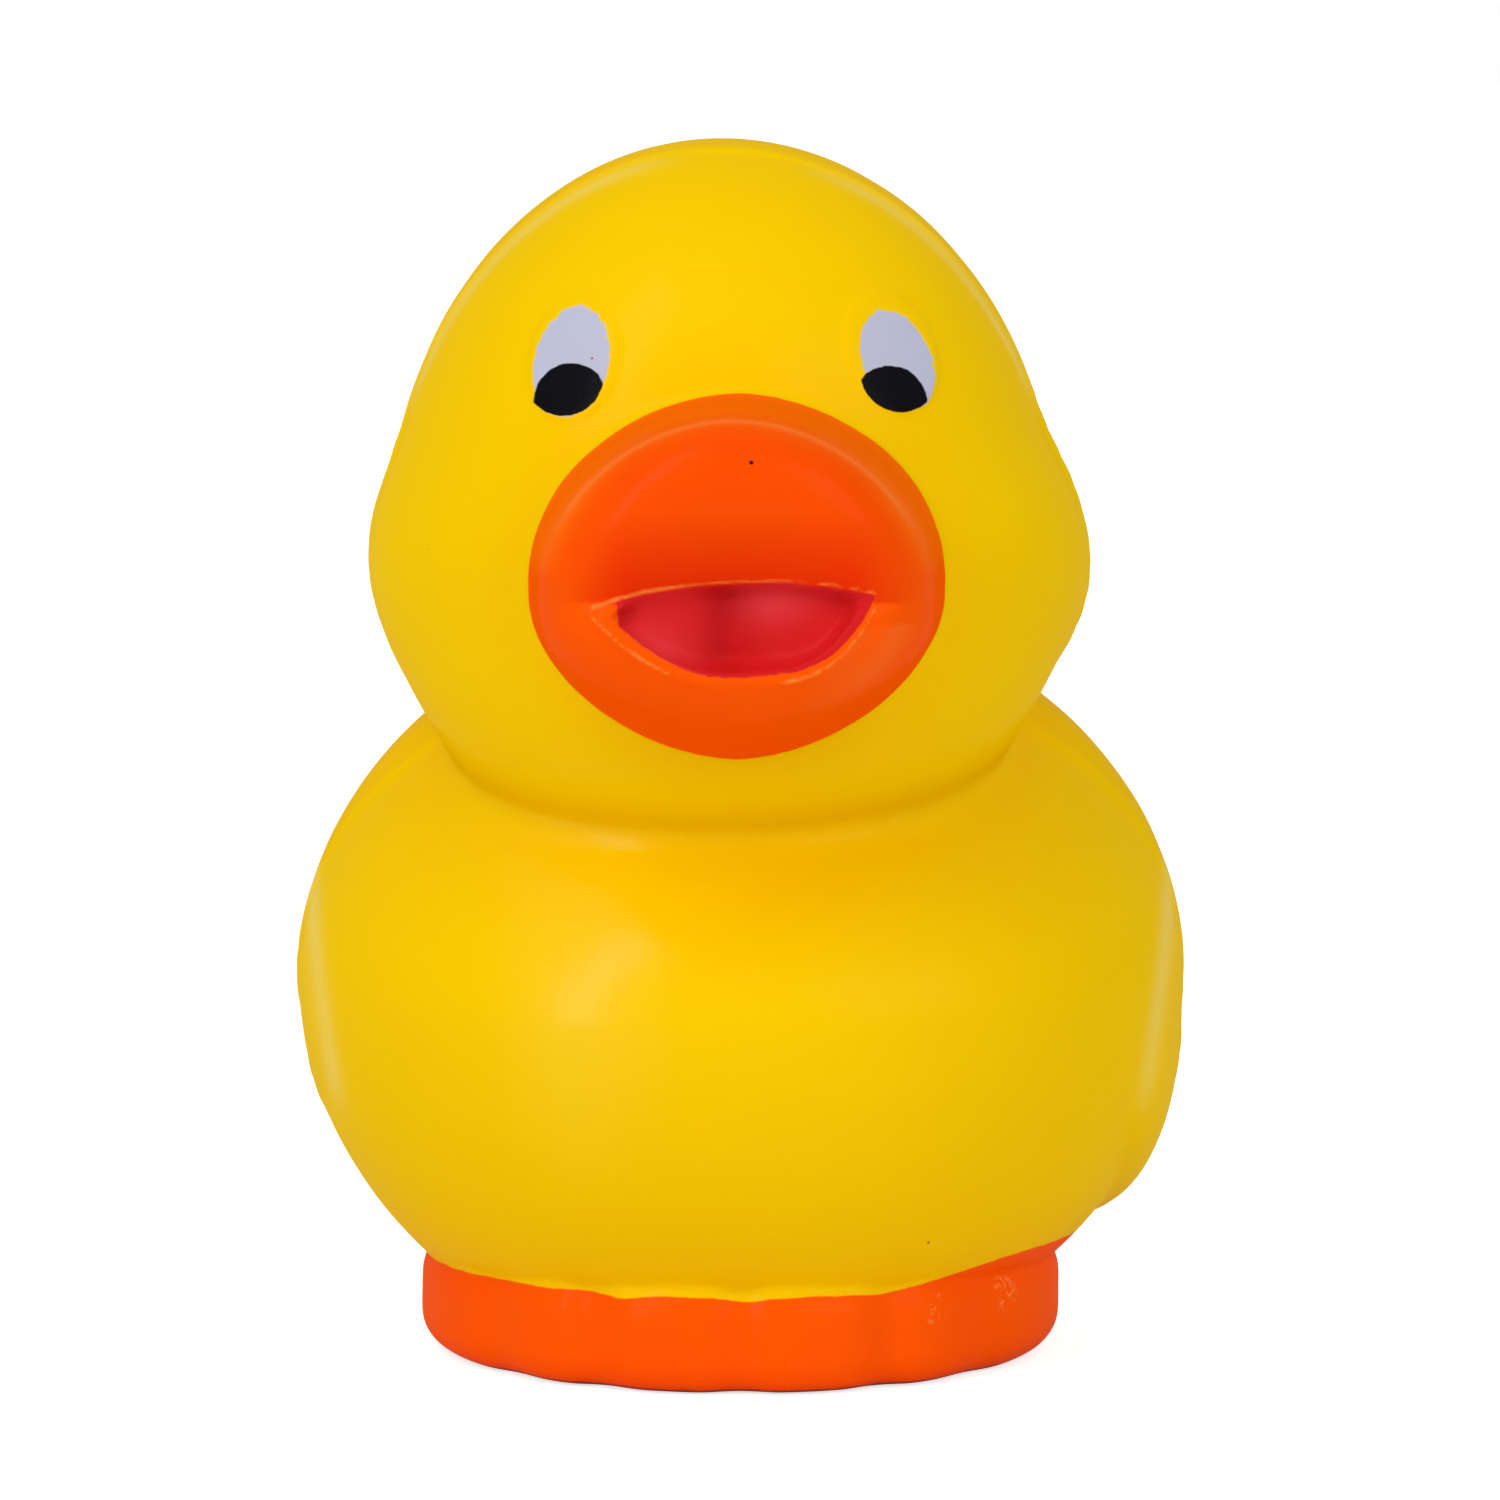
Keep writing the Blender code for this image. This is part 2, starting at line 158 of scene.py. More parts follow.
def bodyAndHead(form=duckForm):
    # a ball whose points are pushed out along rays from the spine until they meet the skin
    bm = bmesh.new()
    bmesh.ops.create_uvsphere(bm, u_segments=form["segments"], v_segments=form["rings"], radius=1.0)
    p = pointsOf(bm)
    turn = np.arccos(np.clip(-p[:, 2], -1.0, 1.0)) / math.pi
    gathered = turn - 0.04 * np.sin(4.0 * math.pi * turn)
    z = form["floorZ"] + (form["crownZ"] - form["floorZ"]) * (0.5 - 0.5 * np.cos(math.pi * gathered))
    bodyZ, cheekY, cheekZ = form["body"][2], form["cheeks"][1], form["cheeks"][2]
    lean = np.clip((z - bodyZ) / (cheekZ - bodyZ), 0.0, 1.0)
    spine = np.stack([0.0 * z, cheekY * lean, z], 1)
    ray = np.stack([p[:, 0], p[:, 1], 0.0 * z], 1)
    length = np.linalg.norm(ray, axis=1)
    ray /= np.maximum(length, 1e-6)[:, None]
    nearNeck = bump((z - form["neckZ"]) / 0.014)
    ray[:, 2] = nearNeck * (0.34 * ray[:, 1] + 0.03 * ray[:, 0])  # the rings follow the crease
    near, far = np.zeros(len(p)), np.full(len(p), 0.06)
    for step in range(26):
        half = (near + far) / 2.0
        inside = skinDistance(spine + ray * half[:, None], form) < 0.0
        near, far = np.where(inside, half, near), np.where(inside, far, half)
    near[length < 1e-6] = 0.0
    putPoints(bm, spine + ray * near[:, None])
    return pieceFrom(bm, "bodyAndHead")


# bill, in the body's own frame
billForm = {
    "aside": -0.0003,
    "halfWidth": 0.0134,
    "rootY": -0.0200,
    "tipY": -0.0385,
    "flare": 0.0010,
    "flareLength": 0.35,
    "lipZ": 0.0543,
    "lipSquare": 8.0,
    "sideBlunt": 4.2,
    "upper": {"middleZ": 0.0552, "up": 0.0116, "down": 0.0013, "blunt": 5.7, "square": 1.86},
    "lower": {"middleZ": 0.0535, "up": 0.0009, "down": 0.0105, "blunt": 2.6, "square": 1.75},
    "setback": 0.0012,
    "inset": 0.0,
    "undercut": 0.0028,
    "undercutHeight": 0.0100,
}


def billHalf(name, upper, form=billForm):
    # one lip: a blunt form that flares out where it meets the face
    half = form["upper"] if upper else form["lower"]
    halfWidth = form["halfWidth"] - (0.0 if upper else form["inset"])
    tipY = form["tipY"] + (0.0 if upper else form["setback"])
    bm = bmesh.new()
    bmesh.ops.create_uvsphere(bm, u_segments=160, v_segments=120, radius=1.0,
                              matrix=Matrix.Rotation(math.radians(90), 4, "X"))
    p = pointsOf(bm)
    across, along, high = p[:, 0], p[:, 1], p[:, 2]
    width = np.maximum(np.hypot(across, high), 1e-9)
    isOuter = (high > 0.0) == upper
    blunt = form["sideBlunt"] + (half["blunt"] - form["sideBlunt"]) * isOuter * (high / width) ** 2
    power = 2.0 / blunt
    square = np.where(isOuter, half["square"], form["lipSquare"])  # 2 is an oval, less is more pointed
    corner = (np.abs(across / width) ** square + np.abs(high / width) ** square) ** (-1.0 / square)
    spread = corner * width ** (power - 1.0)
    forward = np.maximum(-along, 0.0) ** power
    flare = form["flare"] * np.maximum(1.0 - forward / form["flareLength"], 0.0) ** 2
    z = half["middleZ"] + (np.where(high > 0.0, half["up"], half["down"]) + flare * isOuter) * high * spread
    low = np.clip(1.0 - (z - form["lipZ"]) / form["undercutHeight"], 0.0, 1.0)  # the upper lip turns under
    side = across * spread
    undercut = form["undercut"] * low * low * (1.0 - side * side) if upper else 0.0
    length = form["rootY"] - tipY
    y = form["rootY"] + np.maximum(along, 0.0) * length / 4.0 - forward * (length - undercut)
    x = (halfWidth + flare) * side + form["aside"]
    putPoints(bm, np.stack([x, y, z], 1))
    return pieceFrom(bm, name)


# the open smile in the bill, with two soft lobes of tongue behind it
mouthForm = {
    "x": -0.0004,
    "half": 0.0094,
    "tilt": math.radians(3.0),  # its right corner is higher
    "cornerZ": 0.0543,
    "topZ": 0.0556,
    "bottomZ": 0.0491,
    "archPower": 2.6,
    "bowPowers": (2.1, 3.5),  # the bow is fuller on its right
    "backY": -0.0335,
    "taperAcross": 0.84,
    "taperUp": 0.76,
    "middleZ": 0.0530,
    "lobeX": 0.0042,
    "lobeY": -0.0278,
    "lobeZ": 0.0528,
    "lobeRadii": (0.0066, 0.0080, 0.0060),
    "rimHeight": 0.00025,
    "rimOut": 0.0001,
    "rimWidth": 0.0005,
}


def bowZ(share, form=mouthForm):
    power = np.where(share < 0.0, *form["bowPowers"])
    return form["cornerZ"] - (form["cornerZ"] - form["bottomZ"]) * (1.0 - np.abs(share) ** power)


def archZ(share, form=mouthForm):
    return form["cornerZ"] + (form["topZ"] - form["cornerZ"]) * (1.0 - np.abs(share) ** form["archPower"])


def mouthPlace(p, form=mouthForm):
    # places read along the tilted mouth: level up, share of its half width, distance across
    across, up = p[:, 0] - form["x"], p[:, 2] - form["cornerZ"]
    cos, sin = math.cos(form["tilt"]), math.sin(form["tilt"])
    level = form["cornerZ"] + up * cos - across * sin
    across = across * cos + up * sin
    return level, np.clip(across / form["half"], -1.0, 1.0), across


def mouthCut(form=mouthForm):
    # drawn in front of the bill, then extruded back into it, narrowing on the way
    bm = bmesh.new()
    bmesh.ops.create_circle(bm, cap_ends=True, segments=96, radius=1.0)
    for v in bm.verts:
        share = max(min(v.co.x, 1.0), -1.0)
        z = archZ(share) if v.co.y > 0.0 else float(bowZ(share))
        v.co = (form["x"] + form["half"] * share, -0.05, z)
    grown = bmesh.ops.extrude_face_region(bm, geom=list(bm.faces))
    back = [g for g in grown["geom"] if isinstance(g, bmesh.types.BMVert)]
    for v in back:
        v.co.y = form["backY"]
    middle = Matrix.Translation((-form["x"], 0.0, -form["middleZ"]))
    bmesh.ops.scale(bm, vec=(form["taperAcross"], 1.0, form["taperUp"]), space=middle, verts=back)
    corner = Vector((form["x"], 0.0, form["cornerZ"]))
    bmesh.ops.rotate(bm, cent=corner, matrix=Matrix.Rotation(-form["tilt"], 3, "Y"), verts=bm.verts)
    return pieceFrom(bm, "mouthCut")


def tongueLobe(side, form=mouthForm):
    bm = bmesh.new()
    bmesh.ops.create_uvsphere(bm, u_segments=64, v_segments=48, radius=1.0)
    bmesh.ops.scale(bm, vec=form["lobeRadii"], verts=bm.verts)
    place = Matrix.Translation((form["x"] + side * form["lobeX"], form["lobeY"], form["lobeZ"]))
    bm.transform(place)
    return pieceFrom(bm, "tongueLobe")


wingForm = {
    "centre": (0.0226, 0.0070, 0.0245),
    "radii": (0.0070, 0.0200, 0.0132),
    "yaw": math.radians(8),
    "curl": 0.0060,
    "taper": 0.40,
    "rightDrop": 0.0029,
}

tailForm = {
    "centre": (0.0, 0.0240, 0.0300),
    "radii": (0.0140, 0.0160, 0.0100),
    "curl": 0.0080,
    "taper": 0.40,
}


def raisedTip(name, centre, radii, yaw, form):
    # a flattened ball, tapered towards its back end and curled up there
    bm = bmesh.new()
    bmesh.ops.create_uvsphere(bm, u_segments=96, v_segments=72, radius=1.0,
                              matrix=Matrix.Rotation(math.radians(90), 4, "X"))
    for v in bm.verts:
        back = max(v.co.y, 0.0)
        thin = 1.0 - form["taper"] * back * back
        v.co = (radii[0] * v.co.x * thin, radii[1] * v.co.y,
                radii[2] * v.co.z * thin + form["curl"] * back * back)
    bm.transform(Matrix.Translation(centre) @ Matrix.Rotation(yaw, 4, "Z"))
    return pieceFrom(bm, name)


feetForm = {
    "height": 0.0078,
    "halfWidth": 0.0219,
    "front": 0.0225,
    "back": 0.0205,
    "grooves": (0.0, 0.0100, 0.0165),
    "grooveDepth": 0.0008,
    "grooveWidth": 0.0015,
    "edge": 0.0026,
    "points": 240,
}


def feetBlock(form=feetForm):
    bm = bmesh.new()
    bmesh.ops.create_circle(bm, cap_ends=True, segments=form["points"], radius=1.0)
    for v in bm.verts:
        x = form["halfWidth"] * v.co.x
        y = (form["back"] if v.co.y > 0.0 else form["front"]) * v.co.y
        if v.co.y < 0.0:
            for groove in form["grooves"]:
                y += form["grooveDepth"] * math.exp(-(((abs(x) - groove) / form["grooveWidth"]) ** 2))
        v.co = (x, y, 0.0)
    grown = bmesh.ops.extrude_face_region(bm, geom=list(bm.faces))
    top = [g for g in grown["geom"] if isinstance(g, bmesh.types.BMVert)]
    bmesh.ops.translate(bm, vec=(0.0, 0.0, form["height"]), verts=top)
    bmesh.ops.recalc_face_normals(bm, faces=bm.faces)
    rims = [e for e in bm.edges if abs(e.verts[0].co.z - e.verts[1].co.z) < 1e-6]
    bmesh.ops.bevel(bm, geom=rims, offset=form["edge"], segments=8, profile=0.5,
                    affect="EDGES", material=-1)
    return pieceFrom(bm, "feetBlock")


def soften(bm, chosen, passes):
    bm.verts.ensure_lookup_table()
    verts = [bm.verts[i] for i in np.nonzero(chosen)[0]]
    for step in range(passes):
        bmesh.ops.smooth_vert(bm, verts=verts, factor=0.5, use_axis_x=True, use_axis_y=True, use_axis_z=True)


def joinDuck():
    duck = bodyAndHead()
    print("body and head shaped")
    for side in (-1.0, 1.0):
        cx, cy, cz = wingForm["centre"]
        drop = wingForm["rightDrop"] if side > 0.0 else 0.0
        wing = raisedTip("wing", (side * cx, cy, cz - drop), wingForm["radii"], side * wingForm["yaw"], wingForm)
        boolean(duck, wing)
    boolean(duck, raisedTip("tail", tailForm["centre"], tailForm["radii"], 0.0, tailForm))
    boolean(duck, feetBlock())
    boolean(duck, billHalf("upperBill", True))
    boolean(duck, billHalf("lowerBill", False))
    boolean(duck, mouthCut(), "DIFFERENCE")
    for side in (-1.0, 1.0):
        boolean(duck, tongueLobe(side))
    print("wings, tail, feet and bill joined on")
    remesh = duck.modifiers.new("remesh", "REMESH")
    remesh.mode = "VOXEL"
    remesh.voxel_size = duckForm["voxel"]
    finished(duck)
    bm = bmesh.new()
    bm.from_mesh(duck.data)
    p = pointsOf(bm)
    soften(bm, p[:, 0] < 1.0, duckForm["smoothPasses"])
    level, share, across = mouthPlace(p)
    deep = (p[:, 1] < -0.0290) & (p[:, 1] > -0.0364)
    soften(bm, deep & (level > bowZ(share) - 0.0002) & (level < archZ(share) + 0.0002), 40)
    joint = (np.abs(p[:, 0]) > 0.0100) & (np.abs(p[:, 2] - billForm["lipZ"]) < 0.0014)
    soften(bm, joint & (p[:, 1] < -0.0215), 24)
    bm.to_mesh(duck.data)
    bm.free()
    print("duck is one skin of", len(duck.data.polygons), "faces")
    return duck


# painted eyes, in the body's own frame: an oval white that leans in at the top, on a raised pad,
# and a pupil between two arcs, each a circle of centre x z and radius
eyeForm = {
    "left": {"white": (-0.01112, 0.06880), "half": (0.00243, 0.00375), "lean": math.radians(-16.0),
             "pad": (-0.0109, 0.0690), "over": (-0.01104, 0.06627, 0.00256), "under": (-0.01168, 0.06817, 0.00276)},
    "right": {"white": (0.01040, 0.06885), "half": (0.00222, 0.00349), "lean": math.radians(24.0),
              "pad": (0.0099, 0.0694), "over": (0.00974, 0.06599, 0.00264), "under": (0.01067, 0.06837, 0.00278)},
    "padHalf": (0.0029, 0.0041),
    "proud": 0.00018,
    "rim": 0.0005,
}


def ovalDistance(p, centre, half, turn):
    # below zero inside an oval drawn on the front of the face
    x, z = p[:, 0] - centre[0], p[:, 2] - centre[1]
    across = x * math.cos(turn) + z * math.sin(turn)
    up = z * math.cos(turn) - x * math.sin(turn)
    onFace = np.where(p[:, 1] < -0.008, 0.0, 0.02)
    return (np.hypot(across / half[0], up / half[1]) - 1.0) * min(half) + onFace


def eyeDistances(p, side):
    eye = eyeForm[side]
    white = ovalDistance(p, eye["white"], eye["half"], eye["lean"])
    pad = ovalDistance(p, eye["pad"], eyeForm["padHalf"], eye["lean"])
    over, under = [ovalDistance(p, (x, z), (r, r), 0.0) for x, z, r in (eye["over"], eye["under"])]
    white = np.where(p[:, 2] < eye["over"][1], np.maximum(white, under), white)
    return white, pad, np.maximum(over, under)


# small relief over the joined skin
reliefForm = {
    "seamHeight": 0.00026,
    "seamHalf": 0.00030,
    "rearProud": 0.00022,
    "crestHeight": 0.00008,
    "lumps": 0.00012,
    "lumpSize": 0.013,
    "dimples": 0.000035,
    "dimpleSize": 0.0035,
    "seed": 11.0,
}


def noiseAt(p, size, seed):
    shift = Vector((seed, seed * 0.7, -seed))
    return np.array([noise.noise(Vector(q) / size + shift) for q in p])


def readSkin(mesh):
    # every vertex's place and normal
    p, n = np.empty(len(mesh.vertices) * 3), np.empty(len(mesh.vertices) * 3)
    mesh.vertices.foreach_get("co", p)
    mesh.vertex_normals.foreach_get("vector", n)
    return p.reshape(-1, 3), n.reshape(-1, 3)


def crestOf(p, n, width):
    # the rounded edge where the upper lip's front turns into its top
    onUpper = (p[:, 1] < -0.0300) & (p[:, 2] > billForm["lipZ"] + 0.0012)
    return bump((-n[:, 1] - 0.36) / width) * onUpper * smooth01(n[:, 2] / 0.3 + 0.6)


def addRelief(duck, form=reliefForm):
    mesh = duck.data
    p, n = readSkin(mesh)
    lift = form["lumps"] * noiseAt(p, form["lumpSize"], form["seed"])
    lift += form["dimples"] * noiseAt(p, form["dimpleSize"], form["seed"] + 5.0)
    off = seamDistance(p, duckForm["lineSlope"])
    flash = 0.75 + 0.9 * noiseAt(p, 0.006, form["seed"] + 9.0)
    onSkin = smooth01((p[:, 2] - 0.004) / 0.004)
    lift += form["seamHeight"] * np.clip(flash, 0.2, 1.7) * bump(off / form["seamHalf"]) * onSkin
    lift += form["rearProud"] * smooth01(off / 0.0006) * bump(np.maximum(off, 0.0) / 0.010) * onSkin
    lift += form["crestHeight"] * crestOf(p, n, 0.16)
    for side in ("left", "right"):
        lift += eyeForm["proud"] * smooth01(0.5 - eyeDistances(p, side)[1] / eyeForm["rim"])
    level, share, across = mouthPlace(p)
    outOf = bowZ(share) - level - mouthForm["rimOut"]  # a bead runs along the lower lip
    onRim = bump(outOf / mouthForm["rimWidth"]) * smooth01((mouthForm["half"] - np.abs(across)) / 0.002)
    onRim *= 0.25 + 0.75 * np.abs(share)
    lift += mouthForm["rimHeight"] * onRim * (p[:, 1] < billForm["rootY"] - 0.008)
    flat = smooth01(p[:, 2] / 0.0006)  # the sole stays flat
    p += n * (lift * flat)[:, None]
    mesh.vertices.foreach_set("co", p.ravel())
    mesh.update()
    print("seam, eye pads and small lumps raised")


def thinFaces(duck):
    faces = 2.0 * len(duck.data.polygons)
    if faces > duckForm["mostFaces"]:
        mod = duck.modifiers.new("thin", "DECIMATE")
        mod.ratio = duckForm["mostFaces"] / faces
        finished(duck)
    print("thinned to", len(duck.data.polygons), "faces")


# where each coat of paint ends, and where painted light and shade lie, in the body's own frame
paintForm = {
    "billAway": 0.0005,
    "billBehindY": -0.0190,
    "billLow": 0.0420,
    "billHigh": 0.0700,
    "feetZ": 0.00675,
    "feetRise": 0.0019,
    "feetRiseFrom": 0.009,
    "feetRiseOver": 0.012,
    "cusps": ((-0.0080, -0.00025), (0.0004, -0.00035), (0.0093, -0.00015)),
    "lowerWall": 0.00045,
    "upperWall": 0.0001,
    "leftWall": 0.0007,
    "leftGap": 0.0019,
    "rightGap": 0.0003,
    "lipEdgeHighlight": 0.00010,
    "mouthFrontY": -0.0260,
    "lipShadeHeight": 0.0100,
    # glossier lines, with a painted reflection laid pale over them: on the head how far in front of the seam, from
    # which height up and which x out; on the flanks the x at 20 mm up, its gain for each metre up, from and to
    # which height, half width
    "headGlossAndSheen": (0.0011, 0.0640, 0.003),
    "flankGlossAndSheen": (0.0275, 0.15, 0.0165, 0.0380, 0.0006),
    "glossAndSheenWidth": 0.0009,
    "chestRub": (-0.0102, 0.0285, 0.0058, 0.0130),
    "lobeCreaseShade": (-0.0012, 0.0540, 0.0012, 0.0034),
    "lobeSheens": ((-0.0062, 0.0508, 0.0030, 0.0022), (0.0018, 0.0542, 0.0026, 0.0012)),
    # painted contact shadow: a thin dark band this high up the sole, and its half width
    "soleShadowAt": 0.00010,
    "soleShadowBand": 0.00020,
    "creaseReach": 0.0016,
    "creaseUp": 0.0024,  # how far up the head the crease's painted shade lies
    "creaseWidth": 0.0030,
}


def feetEdge(p, form=paintForm):
    x = p[:, 0]
    edge = form["feetZ"] + form["feetRise"] * smooth01((x - form["feetRiseFrom"]) / form["feetRiseOver"])
    for at, dip in form["cusps"]:
        edge = edge + dip * bump((x - at) / 0.0016)
    return edge


def paintFields(duck, form=paintForm):
    # signed distances to the edge of each coat, above zero where it covers, and shares from 0 to 1, some of them
    # painted light and shade
    mesh = duck.data
    p, n = readSkin(mesh)
    away = skinDistance(p)
    bill = np.minimum(away - form["billAway"], form["billBehindY"] - p[:, 1])
    bill = np.minimum(bill, np.minimum(p[:, 2] - form["billLow"], form["billHigh"] - p[:, 2]))
    feet = feetEdge(p) - p[:, 2]
    level, share, across = mouthPlace(p)
    wall = form["lowerWall"] + form["leftWall"] * smooth01(-share - 0.1)
    mouth = np.minimum(level - bowZ(share) - wall, archZ(share) - form["upperWall"] - level)
    mouth = np.minimum(mouth, across + mouthForm["half"] - form["leftGap"])
    mouth = np.minimum(mouth, mouthForm["half"] - form["rightGap"] - across)
    mouth = np.minimum(mouth, form["mouthFrontY"] - p[:, 1])
    onMouth = np.where(p[:, 1] < form["mouthFrontY"], np.abs(across) - mouthForm["half"] + 0.0004, 0.02)
    # painted highlight: a thin paler line on the upper lip's edge and along the lower lip's bead
    atSides = 0.0004 * smooth01(1.0 - (np.abs(share + 0.08) - 0.20) / 0.25)
    broken = 0.00006 * smooth01((share + 0.50) / 0.25)  # the upper line thins out away from the left
    toRim = np.minimum(np.abs(archZ(share) + form["lipEdgeHighlight"] - level) + broken,
                       np.abs(bowZ(share) - mouthForm["rimOut"] - level) + atSides)
    lipEdgeHighlight = form["lipEdgeHighlight"] - np.maximum(toRim, onMouth)
    lipUp = (p[:, 2] - billForm["lipZ"]) / form["lipShadeHeight"]
    inFront = smooth01((-0.0330 - p[:, 1]) / 0.003)
    nearMiddle = smooth01((0.0128 - np.abs(p[:, 0])) / 0.006)
    onLower = (p[:, 1] < -0.0270) & (p[:, 2] < billForm["lipZ"] - 0.0014)
    # painted highlight on the lower lip's rounded edge, on its right
    lowerLipHighlight = bump((-n[:, 1] - 0.72) / 0.16) * onLower * smooth01((p[:, 0] - 0.0030) / 0.006) * 0.5
    apart = neckDistance(p)
    off = seamDistance(p, duckForm["lineSlope"])
    # glossier lines, whose colour is also mixed paler as a painted reflection
    before, lowest, inner = form["headGlossAndSheen"]
    sideways = smooth01((np.abs(p[:, 0]) - inner) / 0.006)
    glossAndPaintedSheen = bump((off + before) / form["glossAndSheenWidth"]) * sideways * smooth01((p[:, 2] - lowest) / 0.004)
    from20mm, perMetre, low, high, half = form["flankGlossAndSheen"]
    within = smooth01((p[:, 2] - low) / 0.004) * smooth01((high - p[:, 2]) / 0.004) * (p[:, 1] < 0.0)
    glossAndPaintedSheen += bump((np.abs(p[:, 0]) - from20mm - perMetre * (p[:, 2] - 0.020)) / half) * within
    rubX, rubZ, rubWide, rubTall = form["chestRub"]
    rubbed = smooth01(1.3 - np.hypot((p[:, 0] - rubX) / rubWide, (p[:, 2] - rubZ) / rubTall)) * (p[:, 1] < 0.0)
    creaseX, creaseZ, creaseWide, creaseTall = form["lobeCreaseShade"]
    # painted sheen on the tongue lobes
    lobes = np.zeros(len(p))
    for x, z, wide, tall in form["lobeSheens"]:
        lobes += bump(np.hypot((p[:, 0] - x) / wide, (p[:, 2] - z) / tall))
    leftWhite, leftPad, leftPupil = eyeDistances(p, "left")
    rightWhite, rightPad, rightPupil = eyeDistances(p, "right")
    fields = {
        "billEdge": bill,
        "feetEdge": feet,
        "mouthEdge": mouth,
        "lipEdgeHighlight": lipEdgeHighlight,
        "whiteEdge": -np.minimum(leftWhite, rightWhite),
        "pupilEdge": -np.minimum(leftPupil, rightPupil),
        # painted shade: darker orange over the upper lip's face, deepest just above the mouth
        "lipShade": np.maximum(smooth01(1.0 - lipUp) * nearMiddle, 0.35 * nearMiddle) * (lipUp > 0.0) * inFront,
        # painted light: the bill's upward-facing parts are lighter orange
        "billTopLight": smooth01((0.75 + n[:, 1]) / 0.35) * smooth01((n[:, 2] + 0.1) / 0.5),
        # painted highlight: paler orange along the upper lip's crest and the lower lip's edge
        "paintedCrestHighlight": np.maximum(crestOf(p, n, 0.08) * smooth01((p[:, 2] - 0.0580) / 0.003), lowerLipHighlight),
        "glossAndPaintedSheen": glossAndPaintedSheen,
        "glossy": rubbed,
        "lobeSheen": lobes,
        # painted shade in the crease between the tongue lobes
        "lobeCreaseShade": bump((p[:, 0] - creaseX) / creaseWide) * bump((p[:, 2] - creaseZ) / creaseTall),
        # painted shade: the rear half of the mould, behind the seam, is darker
        "rearPaintedShade": smooth01(off / 0.0008),
        # painted contact shadow along the bottom edge of the sole
        "soleShadowEdge": form["soleShadowBand"] - np.abs(p[:, 2] - form["soleShadowAt"]),
        # painted shade in the crease between head and body
        "creaseShade": bump(np.maximum(away, 0.0) / form["creaseReach"])
        * bump((apart - form["creaseUp"]) / form["creaseWidth"]),
    }
    for name, values in fields.items():
        attribute = mesh.attributes.new(name, "FLOAT", "POINT")
        attribute.data.foreach_set("value", values)
    print("paint edges laid out")


def onFront(duck, x, z):
    # where the front of the duck lies at a given x and z
    count = len(duck.data.vertices)
    p = np.empty(count * 3)
    duck.data.vertices.foreach_get("co", p)
    p = p.reshape(-1, 3)
    off = np.hypot(p[:, 0] - x, p[:, 2] - z) + 10.0 * (p[:, 1] > 0.0)
    return (x, float(p[np.argmin(off), 1]), z)


# paint and foam, with painted light and shade among the colours; marks are x, z and size on the front of the duck
skinLook = {
    "yellow": (247, 203, 0),
    "yellowWarm": (243, 195, 0),
    "yellowPaintedSheen": (236, 218, 110),
    "yellowRearShade": (243, 190, 0),
    "orangeLitTop": (255, 107, 4),
    "soleShadow": (150, 46, 42),
    "orange": (255, 92, 0),
    "orangeDeep": (254, 82, 0),
    "orangeLipShade": (232, 46, 0),
    "orangeHighlight": (255, 138, 56),
    "red": (204, 20, 22),
    "redPale": (218, 40, 44),
    "redSheen": (238, 96, 104),
    "redCreaseShade": (172, 12, 16),
    "yellowCreaseShade": (236, 186, 0),
    "white": (186, 189, 210),
    "black": (14, 13, 18),
    "speck": (150, 70, 10),
    "scuff": (255, 140, 70),
    "roughness": 0.32,
    "paintRoughness": 0.14,  # added where the orange paint lies
    "specular": 0.0,
    "coat": 0.05,
    "coatRoughness": 0.23,
    "polishCoat": 0.12,
    "chestCoat": 0.20,
    "specks": ((0.0149, 0.0752, 0.00016), (0.0282, 0.0226, 0.00014), (-0.0206, 0.0562, 0.00014),
               (0.0125, 0.0103, 0.00014), (-0.00975, 0.0692, 0.00013)),
    "pinholeShadow": (0.00074, 0.0635, 0.00017),
    "scuffs": ((0.0132, 0.0052, 0.0013), (0.0178, 0.0056, 0.0016)),
}


def linear(colour):
    # from a painter's 0 to 255 numbers to light
    out = []
    for c in colour:
        c /= 255.0
        out.append(c / 12.92 if c <= 0.04045 else ((c + 0.055) / 1.055) ** 2.4)
    return (*out, 1.0)


def node(tree, kind, inputs=None, **settings):
    made = tree.nodes.new("ShaderNode" + kind)
    for key, value in settings.items():
        setattr(made, key, value)
    for key, value in (inputs or {}).items():
        if isinstance(value, bpy.types.NodeSocket):
            tree.links.new(value, made.inputs[key])
        else:
            made.inputs[key].default_value = value
    return made


def maths(tree, operation, a, b=0.0, clamp=False):
    return node(tree, "Math", {0: a, 1: b}, operation=operation, use_clamp=clamp).outputs[0]


def mixColours(tree, share, a, b, blend="MIX"):
    made = node(tree, "Mix", {0: share}, data_type="RGBA", blend_type=blend)
    for key, value in ((6, a), (7, b)):
        if isinstance(value, bpy.types.NodeSocket):
            tree.links.new(value, made.inputs[key])
        else:
            made.inputs[key].default_value = value
    return made.outputs[2]


def newGroup(name, inputs, outputs):
    group = bpy.data.node_groups.new(name, "ShaderNodeTree")
    for label, kind in inputs:
        group.interface.new_socket(label, in_out="INPUT", socket_type="NodeSocket" + kind)
    for label, kind in outputs:
        group.interface.new_socket(label, in_out="OUTPUT", socket_type="NodeSocket" + kind)
    return group, group.nodes.new("NodeGroupInput"), group.nodes.new("NodeGroupOutput")


